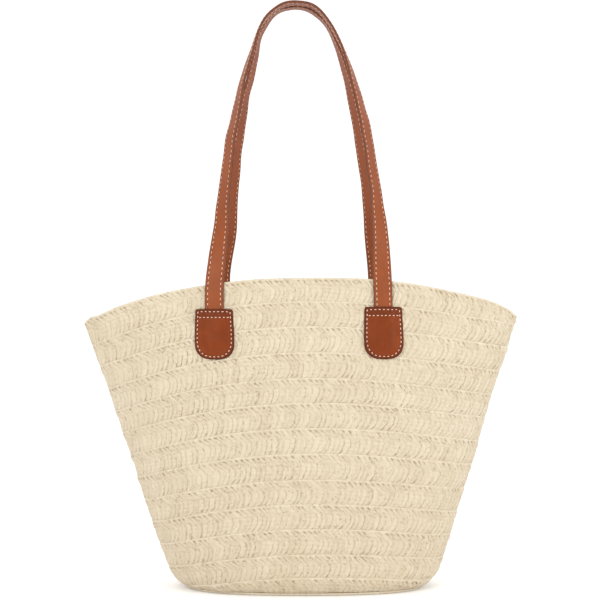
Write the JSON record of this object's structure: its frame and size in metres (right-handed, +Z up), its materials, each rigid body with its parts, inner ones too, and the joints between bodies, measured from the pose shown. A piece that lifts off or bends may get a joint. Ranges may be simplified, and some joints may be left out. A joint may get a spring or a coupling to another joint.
{
  "type": "beach bag",
  "caption": "Fan-shaped braided straw tote with an oval base, cloth lining, magnetic snap and two leather shoulder handles sewn on under U-shaped tabs; the handles fold outward.",
  "frame": {"origin": "centre of the underside of the oval base, on the surface the bag stands on", "axes": "+Z up, -Y the front face, +X along the length of the mouth to the viewer's right when the front is faced"},
  "size_m": [0.4388, 0.1236, 0.5941],
  "materials": {
    "straw": "natural cream paper-straw braid, matte with a faint satin on the strands",
    "leather": "tan-brown smooth leather, satin, dark painted edge",
    "strap_leather": "tan-brown smooth leather strap, satin, dark painted edge",
    "thread": "off-white sewing thread",
    "lining": "plain-weave cotton lining, matte",
    "snap_metal": "light antique brass plate, satin"
  },
  "bodies": {
    "bag": {"straw_base": "straw", "straw_wall": "straw", "lining_front": "lining", "lining_rear": "lining", "lining_base": "lining", "lining_pocket": "lining", "snap_socket": "snap_metal", "snap_stud": "snap_metal", "snap_washer_front": "snap_metal", "snap_washer_rear": "snap_metal", "snap_patch_front": "leather", "snap_patch_rear": "leather", "tab_front_left": "leather", "strap_end_front_left": "strap_leather", "tab_stitching_front_left": "thread", "tab_bar_stitch_front_left": "thread", "tab_front_right": "leather", "strap_end_front_right": "strap_leather", "tab_stitching_front_right": "thread", "tab_bar_stitch_front_right": "thread", "tab_rear_left": "leather", "strap_end_rear_left": "strap_leather", "tab_stitching_rear_left": "thread", "tab_bar_stitch_rear_left": "thread", "tab_rear_right": "leather", "strap_end_rear_right": "strap_leather", "tab_stitching_rear_right": "thread", "tab_bar_stitch_rear_right": "thread"},
    "front_handle": {"front_handle_face": "strap_leather", "front_handle_back": "strap_leather", "front_handle_stitching_inner": "thread", "front_handle_stitching_outer": "thread"},
    "rear_handle": {"rear_handle_face": "strap_leather", "rear_handle_back": "strap_leather", "rear_handle_stitching_inner": "thread", "rear_handle_stitching_outer": "thread"}
  },
  "joints": [
    {"name": "front_handle_fold", "type": "hinge", "parent": "bag", "child": "front_handle", "pos_m": [0, -0.05251, 0.2828], "axis": [1, 0, 0], "range_deg": [0, 150]},
    {"name": "rear_handle_fold", "type": "hinge", "parent": "bag", "child": "rear_handle", "pos_m": [0, 0.05251, 0.2828], "axis": [-1, 0, 0], "range_deg": [0, 150]}
  ]
}
